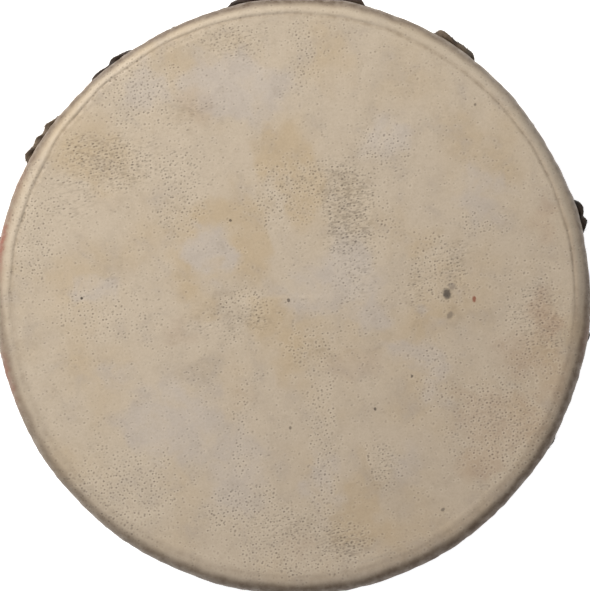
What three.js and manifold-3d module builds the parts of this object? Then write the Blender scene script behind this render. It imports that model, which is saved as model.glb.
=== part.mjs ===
// A shallow two-headed ritual drum: a carved hollow frame, two rawhide heads and one twisted hide
// lacing. Millimetres, +Z up. The drum lies flat on its lower head, whose ring touches z = 0.
import * as THREE from 'three';
import { mergeVertices } from 'three/addons/utils/BufferGeometryUtils.js';
import Module from 'manifold-3d';

const wasm = await Module();
wasm.setup();

// ---- driving dimensions ----
const drumDiameter = 300;      // over the heads, without the lacing
const drumHeight = 92;         // over both heads
const sideCount = 52;          // facets round the drum
const fitGap = 0.3;            // between solids that touch

const skinThickness = 1.5;
const skirtDepth = 27;         // the skin turned down over the side
const skirtHang = 2.5;         // its edge hangs this much lower at a stitch
const shoulderHeight = 9;      // the skin rolls over the frame's edge in this height
const crownOuter = 140.5;      // flat ring on which the skin bears
const crownInner = 138.5;
const grooveRadius = 135;      // inside this the skin sits a little lower
const grooveDrop = 0.9;
const bellyRise = 0.8;         // the skin swells this much where it is stitched
const tuckDepth = 2.0;         // the skirt is drawn in this much at a tight stitch

const frameBore = 134;         // inner radius of the frame
const waistRadius = 141.2;     // outer radius of the frame between its rims
const rimDrop = 13;            // from the head's plane to the underside of the frame's rim

const thongWidth = 4.6;
const thongThickness = 2.8;
const outerClear = 0.5;        // the lacing stands this far off the skin outside,
const innerClear = 0.8;        // and this far off it behind the skirt
const slitClear = 0.6;         // round the lacing where it passes through the skin
const legDrop = 5;             // the lacing bends towards the other head this far past a stitch
const slitOuter = 1.2;         // degrees: the lacing is outside the skirt from this far inside a
const slitInner = 0.9;         // stitch's end, and behind it from this far past the end
const stitchBow = 0.3;         // the middle of a stitch stands a little prouder and nearer the head
const pullSpread = 2.5;        // degrees past a stitch's end over which it still pulls the skin

const knotSize = [4.0, 4.6, 5.4];
const knotHeight = 54;
const knotTurn = 5.9;          // degrees before the first stitch
const tailLength = 19;
const tailTurns = [1.6, 4.4];  // degrees from the knot to each tail's end

// Stitches of the upper head, laid by hand: angle, half width (degrees), depth below the head's
// plane, and how tightly the skirt is drawn in there (0 loose, 1 tight).
const upperStitches = [
  [15.5, 3.4, 13.5, 0.0], [36.5, 3.0, 19.0, 1.0], [57.3, 4.3, 13.5, 0.0], [79.0, 3.2, 13.5, 0.2],
  [98.5, 4.0, 13.5, 0.0], [113.5, 3.0, 19.0, 1.0], [128.8, 5.2, 13.5, 0.1], [148.0, 5.8, 13.5, 0.0],
  [171.0, 3.4, 19.0, 0.9], [192.0, 3.2, 19.5, 1.0], [213.0, 3.5, 19.0, 1.0], [235.0, 3.2, 20.0, 1.0],
  [256.0, 3.5, 19.5, 1.0], [277.0, 3.2, 19.0, 1.0], [303.0, 3.4, 20.0, 1.0], [330.0, 3.6, 18.5, 0.8],
  [353.0, 3.2, 17.5, 0.8],
];
const lowerHalfWidth = 3.0;
const lowerStitchDepth = 15.5;
const lowerTuck = 0.4;

// ---- helpers ----
const radians = THREE.MathUtils.degToRad;
const degrees = THREE.MathUtils.radToDeg;
const smooth = THREE.MathUtils.smoothstep;

// The signed turn from one angle to another, in degrees.
const turn = (from, to) => ((to - from + 540) % 360) - 180;

// A point at an angle (degrees), a radius and a height.
const polar = (angle, radius, z) =>
  new THREE.Vector3(radius * Math.cos(radians(angle)), radius * Math.sin(radians(angle)), z);

// The lower head is stitched half way between the upper head's stitches.
const lowerStitches = upperStitches.map(([angle], i) => {
  const next = upperStitches[(i + 1) % upperStitches.length][0];
  return [angle + turn(angle, next) / 2, lowerHalfWidth, lowerStitchDepth, lowerTuck];
});

// A geometry as a closed solid: shared vertices merged, collapsed triangles dropped.
function solidOf(geometry) {
  const bare = geometry.clone();
  bare.deleteAttribute('normal');
  bare.deleteAttribute('uv');
  const merged = mergeVertices(bare, 1e-4);
  const triVerts = [];
  for (let i = 0; i < merged.index.count; i += 3) {
    const [a, b, c] = [0, 1, 2].map((k) => merged.index.getX(i + k));
    if (a !== b && b !== c && c !== a) triVerts.push(a, b, c);
  }
  return new wasm.Manifold(new wasm.Mesh({
    numProp: 3,
    vertProperties: new Float32Array(merged.attributes.position.array),
    triVerts: new Uint32Array(triVerts),
  }));
}

function geometryOf(solid) {
  const mesh = solid.getMesh();
  const geometry = new THREE.BufferGeometry();
  geometry.setAttribute('position', new THREE.BufferAttribute(mesh.vertProperties, 3));
  geometry.setIndex(new THREE.BufferAttribute(mesh.triVerts, 1));
  geometry.computeVertexNormals();
  return geometry;
}

// A profile of [radius, z] points turned about the Z axis.
function turned(profile) {
  const points = profile.map(([radius, z]) => new THREE.Vector2(radius, z));
  return new THREE.LatheGeometry(points, sideCount).rotateX(Math.PI / 2);
}

// The quarter ellipse from the flat crown out to the side, as [radius, depth] points.
function shoulder(sideRadius, topDepth, steps) {
  return Array.from({ length: steps + 1 }, (_, i) => {
    const a = (i / steps) * Math.PI / 2;
    const reach = sideRadius - crownOuter;
    const rise = shoulderHeight - topDepth;
    return [crownOuter + reach * Math.sin(a), shoulderHeight - rise * Math.cos(a)];
  });
}

// ---- the heads ----
const skinRadius = drumDiameter / 2 - bellyRise;
const tuckedDepth = 17;        // the skirt is drawn in between the shoulder and this depth

// How strongly the stitches act at an angle, with a weight for each stitch.
function pullAt(angle, stitches, weigh) {
  const pull = stitches.map((stitch) => {
    const away = turn(stitch[0], angle) / (stitch[1] + pullSpread);
    return weigh(stitch) * Math.exp(-away * away);
  });
  return Math.min(1, pull.reduce((sum, x) => sum + x, 0));
}

// The skin's outer radius at an angle and a depth below the head's plane.
function skinRadiusAt(angle, depth, stitches) {
  const belly = bellyRise * pullAt(angle, stitches, (stitch) => 1 - stitch[3] / 2);
  const tuck = tuckDepth * pullAt(angle, stitches, (stitch) => stitch[3]);
  const drawn = THREE.MathUtils.clamp((depth - shoulderHeight) / (tuckedDepth - shoulderHeight), 0, 1);
  return skinRadius + belly * smooth(depth, 0, shoulderHeight) - tuck * drawn;
}

// side is 1 for the upper head, whose plane is at the drum's height, and -1 for the lower one.
function headGeometry(stitches, side) {
  const innerTop = skinThickness;
  const innerSide = skinRadius - skinThickness;
  const profile = [
    [0, grooveDrop], [grooveRadius, grooveDrop], [crownInner - 1.4, grooveDrop / 3], [crownInner, 0],
    ...shoulder(skinRadius, 0, 3),
    [skinRadius, tuckedDepth], [skinRadius, skirtDepth],
    [innerSide, skirtDepth], [innerSide, tuckedDepth],
    ...shoulder(innerSide, innerTop, 2).reverse(),
    [grooveRadius, grooveDrop + innerTop], [0, grooveDrop + innerTop],
  ].map(([radius, depth]) => [radius, -side * depth]);
  const geometry = turned(side > 0 ? profile.reverse() : profile);
  const position = geometry.attributes.position;
  for (let i = 0; i < position.count; i++) {
    const [x, y, depth] = [position.getX(i), position.getY(i), -side * position.getZ(i)];
    const radius = Math.hypot(x, y);
    const angle = degrees(Math.atan2(y, x));
    const reach = smooth(radius, crownOuter, innerSide - 1);
    const grow = 1 + reach * (skinRadiusAt(angle, depth, stitches) - skinRadius) / Math.max(radius, 1);
    const hang = depth > tuckedDepth ? skirtHang * pullAt(angle, stitches, () => 1) : 0;
    position.setXYZ(i, x * grow, y * grow, -side * (depth + hang));
  }
  return side > 0 ? geometry.translate(0, 0, drumHeight) : geometry;
}

// ---- the frame ----
function frameGeometry() {
  const rimTop = skinThickness + fitGap;
  const rimSide = skinRadius - skinThickness - fitGap;
  const halfHeight = drumHeight / 2;
  const upper = [
    [frameBore, rimTop + 6], [frameBore + 2.8, rimTop + 1.9], [crownInner + 0.6, rimTop + 0.25],
    ...shoulder(rimSide, rimTop, 2),
    [waistRadius, rimDrop],
  ].map(([radius, depth]) => [radius, halfHeight - depth]);
  const lower = upper.map(([radius, z]) => [radius, -z]).reverse();
  return turned([...upper, ...lower, upper[0]].reverse()).translate(0, 0, halfHeight);
}

// ---- the lacing ----
// Across the lacing at a point: its thickness lies outwards from the drum's axis, its width along
// the drum's side.
function acrossAt(point, tangent) {
  const normal = new THREE.Vector3(point.x, point.y, 0).normalize();
  normal.addScaledVector(tangent, -normal.dot(tangent)).normalize();
  return { normal, binormal: new THREE.Vector3().crossVectors(tangent, normal) };
}

// A path through hand-set points whose sections stand at those points, so the short bends have
// many and the long straight runs few.
class LacePath extends THREE.CatmullRomCurve3 {
  constructor(points) {
    super(points, false, 'centripetal');
  }

  getUtoTmapping(u) {
    return u;
  }

  computeFrenetFrames(segments) {
    const steps = Array.from({ length: segments + 1 }, (_, i) => i / segments);
    const tangents = steps.map((t) => this.getTangent(t));
    const across = steps.map((t, i) => acrossAt(this.getPoint(t), tangents[i]));
    return {
      tangents,
      normals: across.map((frame) => frame.normal),
      binormals: across.map((frame) => frame.binormal),
    };
  }
}

// One stitch: up behind the skirt, out through a slit, along the outside, in through the next
// slit and down behind the skirt. Points are [angle, radius, depth].
function stitchPoints(stitch, stitches) {
  const [middle, half, depth] = stitch;
  const inward = -skinThickness - innerClear - thongThickness / 2;
  const outward = outerClear + thongThickness / 2;
  const at = (offset, down, shift) => {
    const angle = middle + offset;
    return [angle, skinRadiusAt(angle, depth + down, stitches) + shift, depth + down];
  };
  return [
    at(-half - slitInner, legDrop, inward), at(-half + slitOuter, 0, outward),
    at(0, -stitchBow, outward + stitchBow),
    at(half - slitOuter, 0, outward), at(half + slitInner, legDrop, inward),
  ];
}

function routeOf(stitches, heightAt) {
  const toPoint = ([angle, radius, depth]) => polar(angle, radius, heightAt(depth));
  return stitches.map((stitch) => stitchPoints(stitch, stitches).map(toPoint));
}

// The lacing goes from a stitch of the upper head to the next one of the lower head, all the way
// round.
const upperRoute = routeOf(upperStitches, (depth) => drumHeight - depth);
const lowerRoute = routeOf(lowerStitches, (depth) => depth);
const lacingRoute = upperRoute.flatMap((stitch, i) => [...stitch, ...lowerRoute[i]]);

// The lacing's strip along a path, grown on every side by the same amount.
function strip(points, grow = 0) {
  const [x, y] = [thongThickness / 2 + grow, thongWidth / 2 + grow];
  const section = new THREE.Shape([[-x, -y], [x, -y], [x, y], [-x, y]].map((p) => new THREE.Vector2(...p)));
  const options = { steps: points.length - 1, extrudePath: new LacePath(points), bevelEnabled: false };
  return solidOf(new THREE.ExtrudeGeometry(section, options));
}

// The two ends meet in a knot on the drum's side, and their tails hang below it.
function lacing() {
  const knotAngle = upperStitches[0][0] - knotTurn;
  const reach = waistRadius + fitGap;
  const knot = (offset) => polar(knotAngle + offset, reach + knotSize[0], knotHeight);
  const tails = tailTurns.map((offset) => {
    const end = polar(knotAngle + offset, reach + thongThickness, knotHeight - tailLength);
    return strip([knot(offset / 6), end]);
  });
  const lump = new THREE.IcosahedronGeometry(1, 1).scale(...knotSize).rotateZ(radians(knotAngle));
  const run = strip([knot(0.5), ...lacingRoute, knot(-0.5)]);
  return [...tails, solidOf(lump.translate(...knot(0)))].reduce((all, piece) => all.add(piece), run);
}

// ---- the drum ----
const materials = {
  rawhide: new THREE.MeshStandardMaterial({ color: 0xbcab93, roughness: 0.62, metalness: 0 }),
  wood: new THREE.MeshStandardMaterial({ color: 0x7a3b26, roughness: 0.75, metalness: 0 }),
  hide: new THREE.MeshStandardMaterial({ color: 0x3a2c22, roughness: 0.85, metalness: 0 }),
};

const group = new THREE.Group();

function place(name, geometry, material) {
  const mesh = new THREE.Mesh(geometry, material);
  mesh.name = name;
  group.add(mesh);
}

const slitCutter = strip(lacingRoute, slitClear);
const upperHead = solidOf(headGeometry(upperStitches, 1)).subtract(slitCutter);
const lowerHead = solidOf(headGeometry(lowerStitches, -1)).subtract(slitCutter);

place('frame', geometryOf(solidOf(frameGeometry())), materials.wood);
place('top_head', geometryOf(upperHead), materials.rawhide);
place('bottom_head', geometryOf(lowerHead), materials.rawhide);
place('lacing', geometryOf(lacing()), materials.hide);

export default group;
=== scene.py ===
# Shallow two-headed ritual drum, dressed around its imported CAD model.
# Lengths in the dictionaries are millimetres and angles degrees, counted from +X towards +Y.
import math

import bpy
import numpy as np
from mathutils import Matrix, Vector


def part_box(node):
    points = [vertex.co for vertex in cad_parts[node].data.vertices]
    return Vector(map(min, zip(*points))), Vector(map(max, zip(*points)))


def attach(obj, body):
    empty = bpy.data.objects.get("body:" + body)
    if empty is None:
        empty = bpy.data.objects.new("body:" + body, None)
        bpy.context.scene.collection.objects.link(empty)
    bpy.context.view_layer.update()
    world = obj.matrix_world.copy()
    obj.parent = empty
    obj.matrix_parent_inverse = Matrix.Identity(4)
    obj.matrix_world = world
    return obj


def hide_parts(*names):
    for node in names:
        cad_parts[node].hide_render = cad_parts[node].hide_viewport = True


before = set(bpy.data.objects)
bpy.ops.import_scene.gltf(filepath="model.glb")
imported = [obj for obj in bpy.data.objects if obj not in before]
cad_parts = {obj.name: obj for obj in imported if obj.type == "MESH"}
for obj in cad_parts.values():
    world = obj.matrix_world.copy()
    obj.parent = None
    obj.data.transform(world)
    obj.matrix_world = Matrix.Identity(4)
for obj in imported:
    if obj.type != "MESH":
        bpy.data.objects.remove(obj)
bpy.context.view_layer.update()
mm = 0.001


def linear(hexColour, alpha=1.0):
    # sRGB hex to the linear values that Blender's sockets take
    parts = [int(hexColour[i:i + 2], 16) / 255 for i in (1, 3, 5)]
    return [c / 12.92 if c < 0.04045 else ((c + 0.055) / 1.055) ** 2.4 for c in parts] + [alpha]


def addNode(tree, kind, inputs=None, out=0, **settings):
    # adds a node, sets it, links or fills its inputs, and hands back one of its outputs
    node = tree.nodes.new(kind)
    for name, value in settings.items():
        setattr(node, name, value)
    for key, value in (inputs or {}).items():
        if isinstance(value, bpy.types.NodeSocket):
            tree.links.new(value, node.inputs[key])
        else:
            node.inputs[key].default_value = value
    return node.outputs[out] if len(node.outputs) else node


def newMaterial(name):
    material = bpy.data.materials.new(name)
    material.use_nodes = True
    material.node_tree.nodes.clear()
    return material, material.node_tree


def stain(tree, colour, shade, amount, noise=None, ends=(0, 1, 0, 1), ease="LINEAR"):
    # lays a shade over a colour by an amount, which a noise can break up: ends are two values of
    # the noise and what each of them gives
    if noise is not None:
        patchy = addNode(tree, "ShaderNodeMapRange", dict(enumerate((noise, *ends))), interpolation_type=ease)
        amount = addNode(tree, "ShaderNodeMath", {0: amount, 1: patchy}, operation="MULTIPLY")
    return addNode(tree, "ShaderNodeMix", {0: amount, 6: colour, 7: shade}, out=2, data_type="RGBA")


def smoothStep(x, low, high):
    t = np.clip((x - low) / (high - low), 0, 1)
    return t * t * (3 - 2 * t)


def wavyField(x, y, size, seed, waves=9):
    # soft unevenness over a plane: a few crossing waves about as long as size
    rng = np.random.default_rng(seed)
    total = np.zeros(np.broadcast(x, y).shape)
    for _ in range(waves):
        heading, phase = rng.uniform(0, 2 * math.pi, 2)
        pitch = 2 * math.pi / (size * rng.uniform(0.7, 1.6))
        total += np.sin(pitch * (x * math.cos(heading) + y * math.sin(heading)) + phase)
    return total / math.sqrt(waves)


def wavyRound(angles, lowest, highest, seed):
    # soft unevenness round the drum, made of whole numbers of waves
    rng = np.random.default_rng(seed)
    total = np.zeros(angles.shape)
    for count in range(lowest, highest + 1):
        total += rng.uniform(0.3, 1) * np.sin(np.radians(angles) * count + rng.uniform(0, 2 * math.pi))
    return total / math.sqrt(highest - lowest + 1)


def turnBetween(start, end):
    return (end - start + 540) % 360 - 180


def storeOnPoints(mesh, name, values):
    # one number or one vector for each point of a mesh
    isVector = np.ndim(values) == 2
    layer = mesh.attributes.new(name, "FLOAT_VECTOR" if isVector else "FLOAT", "POINT")
    layer.data.foreach_set("vector" if isVector else "value", np.asarray(values, np.float32).ravel())


def makePiece(name, points, faces, material, slot, *replaced):
    mesh = bpy.data.meshes.new(name)
    mesh.from_pydata((points * mm).tolist(), [], faces)
    mesh.shade_smooth()
    piece = bpy.data.objects.new(name, mesh)
    bpy.context.scene.collection.objects.link(piece)
    mesh.materials.append(material)
    declare(piece, slot, *replaced)
    return piece


def declare(piece, slot, *replaced):
    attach(piece, "root")
    if replaced:
        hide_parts(*replaced)


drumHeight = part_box("top_head")[1].z / mm

view = {
    "distance": 2200.0,      # from the playing face to the lens
    "tilt": 1.5,             # leans towards the side that is up in the picture
    "across": 296.0,         # width seen at the playing face
    "aim": (0.86, 0.4),
    "sensor": 36.0,
}

light = {
    "key": dict(place=(-620, 620, 950), size=700, watts=16.0, colour="#fffaf4"),
    "fill": dict(place=(500, -900, 1500), size=1200, watts=5.0, colour="#f4f7ff"),
    "sky": 0.46,
    "skyColour": "#f7f9ff",
    "paper": "#fbfbfa",
    "paperGlow": 0.6,        # the floor is lit from below a little, as on a light table
    "paperHalf": 3000.0, "paperLevel": -0.3,
}


def makeCamera():
    data = bpy.data.cameras.new("camera")
    data.sensor_width = view["sensor"]
    data.lens = view["sensor"] * view["distance"] / view["across"]
    data.clip_end = 20
    camera = bpy.data.objects.new("camera", data)
    bpy.context.scene.collection.objects.link(camera)
    lean = math.radians(view["tilt"])
    x, y = view["aim"]
    camera.location = (x * mm, (y + view["distance"] * math.sin(lean)) * mm,
                       (drumHeight + view["distance"] * math.cos(lean)) * mm)
    camera.rotation_euler = (-lean, 0, 0)
    bpy.context.scene.camera = camera


def makeLights():
    for name in ("key", "fill"):
        spec = light[name]
        data = bpy.data.lights.new(name, "AREA")
        data.shape = "DISK"
        data.size = spec["size"] * mm
        data.energy = spec["watts"]
        data.color = linear(spec["colour"])[:3]
        lamp = bpy.data.objects.new(name, data)
        bpy.context.scene.collection.objects.link(lamp)
        lamp.location = [v * mm for v in spec["place"]]
        aim = lamp.location.copy()
        aim.z -= drumHeight * mm
        lamp.rotation_euler = aim.to_track_quat("Z", "Y").to_euler()
    world = bpy.data.worlds.new("studio")
    world.use_nodes = True
    sky = world.node_tree.nodes["Background"]
    sky.inputs["Color"].default_value = linear(light["skyColour"])
    sky.inputs["Strength"].default_value = light["sky"]
    bpy.context.scene.world = world
    bpy.context.scene.view_settings.view_transform = "Standard"


def makeFloor():
    material, tree = newMaterial("studioPaper")
    surface = addNode(tree, "ShaderNodeBsdfPrincipled",
                      {"Base Color": linear(light["paper"]), "Roughness": 0.9,
                       "Emission Color": linear("#ffffff"), "Emission Strength": light["paperGlow"]})
    addNode(tree, "ShaderNodeOutputMaterial", {"Surface": surface})
    half, level = light["paperHalf"], light["paperLevel"]
    corners = np.array([(x * half, y * half, level) for x, y in ((-1, -1), (1, -1), (1, 1), (-1, 1))])
    mesh = bpy.data.meshes.new("floor")
    mesh.from_pydata((corners * mm).tolist(), [], [(0, 1, 2, 3)])
    mesh.materials.append(material)
    floor = bpy.data.objects.new("floor", mesh)
    bpy.context.scene.collection.objects.link(floor)


makeCamera()
makeLights()
makeFloor()
print("camera, lights and floor are set")


# Where the lacing bites. Stitches of the playing head: angle, half width, depth below the head's
# plane, how tightly the skirt is drawn in, and how far the stitch tips out at its far end (positive)
# or its near end (negative).
upperStitches = [
    (15.5, 3.4, 13.5, 0.2, 0.0), (36.5, 3.0, 19.0, 1.0, 0.0), (57.3, 4.3, 13.5, 0.3, 0.3),
    (79.0, 3.2, 13.5, 0.2, 0.0), (98.5, 4.0, 13.5, 0.3, 0.0), (113.5, 3.0, 19.0, 1.0, 0.0),
    (128.8, 5.2, 13.5, 0.9, -0.6), (148.0, 5.8, 13.5, 0.6, 0.8), (171.0, 3.4, 19.0, 0.9, 0.0),
    (192.0, 3.2, 19.5, 1.0, 0.0), (213.0, 3.5, 19.0, 1.0, 0.0), (235.0, 3.2, 20.0, 1.0, 0.0),
    (256.0, 3.5, 19.5, 1.0, 0.0), (277.0, 3.2, 19.0, 1.0, 0.0), (303.0, 3.4, 20.0, 1.0, 0.0),
    (330.0, 3.6, 18.5, 0.8, 0.0), (353.0, 3.2, 17.5, 0.8, 0.0),
]
lowerStitches = [
    (angle + turnBetween(angle, upperStitches[(i + 1) % len(upperStitches)][0]) / 2, 3.0, 15.5, 0.9, 0.0)
    for i, (angle, *_) in enumerate(upperStitches)
]

skin = {
    "radius": 149.2, "thick": 1.2,
    "crownInner": 138.5, "crownOuter": 140.5,   # the flat ring that bears on the frame
    "groove": 124.0, "grooveDrop": 0.5,
    "shoulder": 9.0,                            # the skin rolls over in this height
    "belly": 0.8, "tuck": 3.2, "tucked": 16.0,  # swell at a stitch, and draw-in below it
    "skirt": 27.0, "hang": 2.5,
    "spread": 2.5,                              # degrees past a stitch that it still pulls
    "slitHalf": 4.3, "slitOpen": 1.9, "slitEase": 5.0,
    "slitInset": 0.2, "slitDrop": 2.4,          # the slit's place from the stitch's end
    "ripple": 0.32, "curl": 0.5,
    "crease": 141.3, "creaseWide": 0.75,        # where the skin creased over the frame's edge
    # how far the side stands out or in, by angle
    "bulge": [(0, 0.3), (8, -0.4), (28, -1.1), (36, -1.4), (43, -0.3), (55, -0.4), (67, 0.4), (90, 0.2),
              (105, -1.1), (113, -1.8), (128, -1.8), (137, -1.5), (148, -0.9), (160, 0.5), (180, 0.6),
              (225, 0.5), (245, 0.3), (265, 0.8), (287, 1.4), (305, 0.5), (325, 0.0), (345, 0.0), (360, 0.3)],
}


def pullAt(angles, stitches, weigh):
    pull = np.zeros(np.shape(angles))
    for stitch in stitches:
        away = turnBetween(stitch[0], angles) / (stitch[1] + skin["spread"])
        pull = pull + weigh(stitch) * np.exp(-away * away)
    return np.minimum(1, pull)


def skinRadius(angles, depth, stitches):
    belly = skin["belly"] * pullAt(angles, stitches, lambda stitch: 1 - stitch[3] / 2)
    tuck = skin["tuck"] * pullAt(angles, stitches, lambda stitch: stitch[3])
    drawn = np.clip((depth - skin["shoulder"]) / (skin["tucked"] - skin["shoulder"]), 0, 1)
    return skin["radius"] + belly * smoothStep(depth, 0, skin["shoulder"]) - tuck * drawn


# a dried goat skin, scraped, with its hair holes, stains and hand grime, and with painted shade and painted
# highlights
topHide = {
    "seed": 4, "columns": 720,
    "face": "#b1a38f",       # dry scraped grain side
    "cool": "#afa497",       # thinner places, where the skin looks greyer
    "tan": "#ac9a7f",        # fat left in the skin yellows it
    "russet": "#977b62",
    "soil": "#6b5a43",
    "paintedShadeGradient": "#907e69",    # painted shade: darker towards the lower right, away from the key light
    # grime: rim dirt, partly painted shade on the rolled edge
    "grime": "#4d3b29",
    "ochre": "#8e4a38",      # red earth rubbed off the frame
    "hole": "#41362a",
    "paintedHighlight": "#c6b9a4",       # painted highlight: the lit lip round a hair hole, and the lit top of the ring
    "skirt": "#7f6c52",      # the side is darker and browner than the face
    "gloss": 0.5,
    # red earth on the rim: angle, spread, strength
    "ochreAt": ((171, 6, 1.0), (196, 5, 0.55), (158, 4, 0.25), (352, 4, 0.2)),
    # hair holes, small pits 2 to 3 mm apart, in places drawn out into dashes the way the hair lay:
    # field, spacing, drawn out by, turned by, half width, darkness
    "holeKinds": (("holes", 2.0, 1.15, 8, 0.60, 0.85), ("holes", 3.2, 1.3, 65, 0.7, 0.7),
                  ("dashes", 1.6, 1.8, 12, 0.55, 1.0)),
    # grime and painted shade on the rim and just inside it, at every 45 degrees
    "rimDirtAndShade": (0.84, 0.60, 1.0, 0.88, 0.60, 0.68, 0.95, 1.0),
    "ringDirtAndShade": (0.38, 0.06, 0.10, 0.06, 0.16, 0.12, 0.18, 0.26),
    # x, y, half width, half height, strength
    "holes": [
        (16, 60, 18, 9, 0.9), (6, 50, 10, 15, 0.75), (-10, 50, 10, 17, 0.75), (31, 40, 16, 27, 0.6),
        (44, 76, 14, 8, 0.75), (71, 14, 14, 17, 0.8), (-90, 66, 27, 16, 0.6), (-78, 103, 22, 18, 0.8),
        (-55, 50, 11, 23, 0.75), (-27, -8, 13, 15, 0.75), (-130, 32, 12, 32, 0.6), (-95, -10, 28, 14, 0.5),
        (-24, -108, 24, 13, 0.9), (5, -125, 36, 15, 0.8), (-85, -98, 30, 22, 0.7), (15, -75, 8, 40, 0.6),
        (-25, -70, 6, 30, 0.5), (105, -65, 28, 28, 0.65), (120, -15, 18, 33, 0.5), (45, -85, 8, 12, 0.85),
        (10, -25, 14, 13, 0.6), (70, -40, 10, 22, 0.5), (94, 36, 12, 7, 0.6), (5, 122, 9, 20, 0.6),
        (-30, 127, 20, 9, 0.5), (28, 8, 10, 12, 0.5),
    ],
    # where the holes are drawn out into rows of dashes
    "dashes": [
        (27, 43, 13, 24, 1.0), (24, 60, 9, 8, 0.8), (33, 12, 8, 14, 0.45), (-92, 68, 27, 14, 0.75),
        (-112, 50, 12, 16, 0.5), (81, 14, 7, 14, 0.6), (62, 6, 5, 15, 0.6), (122, -12, 14, 20, 0.6),
        (-20, -12, 13, 6, 0.7), (-45, -14, 12, 8, 0.4), (22, -124, 16, 9, 0.75), (-5, -116, 14, 7, 0.6),
        (46, -86, 6, 10, 0.7), (106, -60, 16, 12, 0.45), (-52, 62, 8, 8, 0.4), (-50, 92, 14, 7, 0.4),
        (-30, 128, 18, 6, 0.5), (12, 58, 8, 10, 0.4),
    ],
    "soils": [
        (25, 59, 13, 7, 0.75), (27, 38, 9, 14, 0.6), (30, 70, 10, 6, 0.25), (-35, -4, 8, 5, 0.5),
        (-25, -13, 10, 6, 0.5), (-95, 72, 10, 7, 0.35), (-83, 55, 8, 11, 0.35), (-50, 92, 12, 9, 0.3),
        (14, -27, 8, 5, 0.45), (45, -23, 6, 5, 0.4), (26, -125, 13, 7, 0.6), (4, -117, 10, 7, 0.4),
        (81, 16, 5, 8, 0.5), (64, -9, 4, 7, 0.45), (60, 4, 3, 10, 0.3), (79, -10, 4, 5, 0.5),
        (44, -92, 5, 6, 0.4), (73, -95, 5, 5, 0.3), (-47, -38, 10, 6, 0.35), (-90, 12, 12, 6, 0.3),
        (-55, 45, 5, 8, 0.3), (-15, 75, 8, 8, 0.2), (78, -50, 8, 10, 0.2), (-62, 45, 6, 10, 0.2),
    ],
    "tans": [
        (-20, 28, 9, 22, 0.8), (-6, 70, 13, 15, 0.9), (6, 48, 9, 15, 0.8), (-14, -10, 9, 10, 0.9),
        (-2, -30, 8, 15, 0.6), (-36, 44, 14, 7, 0.7), (-100, 66, 18, 12, 0.6), (35, -100, 8, 25, 0.7),
        (30, -118, 16, 10, 0.8), (65, 28, 6, 9, 0.5), (-42, -5, 9, 8, 0.6), (-55, 14, 6, 20, 0.4),
        (85, 85, 14, 8, 0.3), (-105, -45, 20, 18, 0.25), (20, 115, 14, 12, 0.4), (95, 10, 18, 26, 0.35),
    ],
    "cools": [
        (27, 14, 16, 18, 0.9), (37, -4, 10, 14, 0.7), (-42, 22, 13, 14, 0.8), (-30, 106, 28, 16, 0.9),
        (46, 80, 13, 9, 0.8), (-60, -65, 27, 22, 0.8), (-28, -88, 16, 26, 0.7), (95, 52, 14, 14, 0.6),
        (15, -93, 10, 12, 0.7), (-100, 4, 12, 9, 0.6), (-18, 97, 16, 12, 0.5), (10, 2, 16, 14, 0.6),
        (60, -28, 14, 8, 0.6), (70, -40, 7, 18, 0.7), (-75, 104, 12, 12, 0.7), (68, -10, 4, 9, 0.6),
        (56, -84, 10, 10, 0.5), (-88, -40, 12, 8, 0.4),
    ],
    "russets": [
        (126, -10, 9, 12, 0.9), (116, -28, 14, 12, 0.6), (105, -62, 20, 15, 0.6), (94, -84, 12, 10, 0.6),
        (126, 38, 6, 12, 0.4), (92, -52, 10, 7, 0.5), (-58, -18, 9, 7, 0.3), (130, -38, 8, 14, 0.5),
        (-50, 95, 10, 8, 0.35), (30, -34, 14, 8, 0.25), (6, -124, 8, 6, 0.3), (-25, -48, 7, 7, 0.25),
    ],
}

lowerHide = {
    **topHide, "seed": 23, "columns": 540,
    "rimDirtAndShade": (0.6, 0.7, 0.6, 0.5, 0.6, 0.8, 0.7, 0.6),
    "ringDirtAndShade": (0.3, 0.35, 0.3, 0.2, 0.3, 0.4, 0.3, 0.3),
    "holes": [(40, 60, 40, 26, 0.6), (-60, -30, 34, 40, 0.6), (70, -60, 30, 24, 0.5), (-30, 96, 40, 20, 0.5)],
    "dashes": [(50, 50, 20, 16, 0.6), (-60, -50, 20, 24, 0.6)],
    "soils": [(10, 20, 26, 14, 0.35), (-70, -60, 20, 14, 0.3), (60, -90, 18, 10, 0.3)],
    "tans": [(-20, 30, 40, 26, 0.5), (60, -40, 26, 34, 0.6), (-90, -20, 20, 30, 0.4)],
    "cools": [(30, 90, 36, 18, 0.6), (-40, -90, 30, 18, 0.6), (90, 20, 16, 30, 0.5)],
    "russets": [(-110, 40, 14, 24, 0.5), (40, -120, 30, 8, 0.5)],
}


def patchField(x, y, patches, seed):
    # soft-edged patches, strongest one wins, their outlines made ragged
    wander = 3.0
    bentX = x + wander * wavyField(x, y, 14, seed)
    bentY = y + wander * wavyField(x, y, 14, seed + 1)
    field = np.zeros(x.shape)
    for px, py, wide, high, strength in patches:
        q = np.sqrt(((bentX - px) / wide) ** 2 + ((bentY - py) / high) ** 2)
        field = np.maximum(field, strength * (1 - smoothStep(q, 0.55, 1.35)))
    return field


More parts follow.
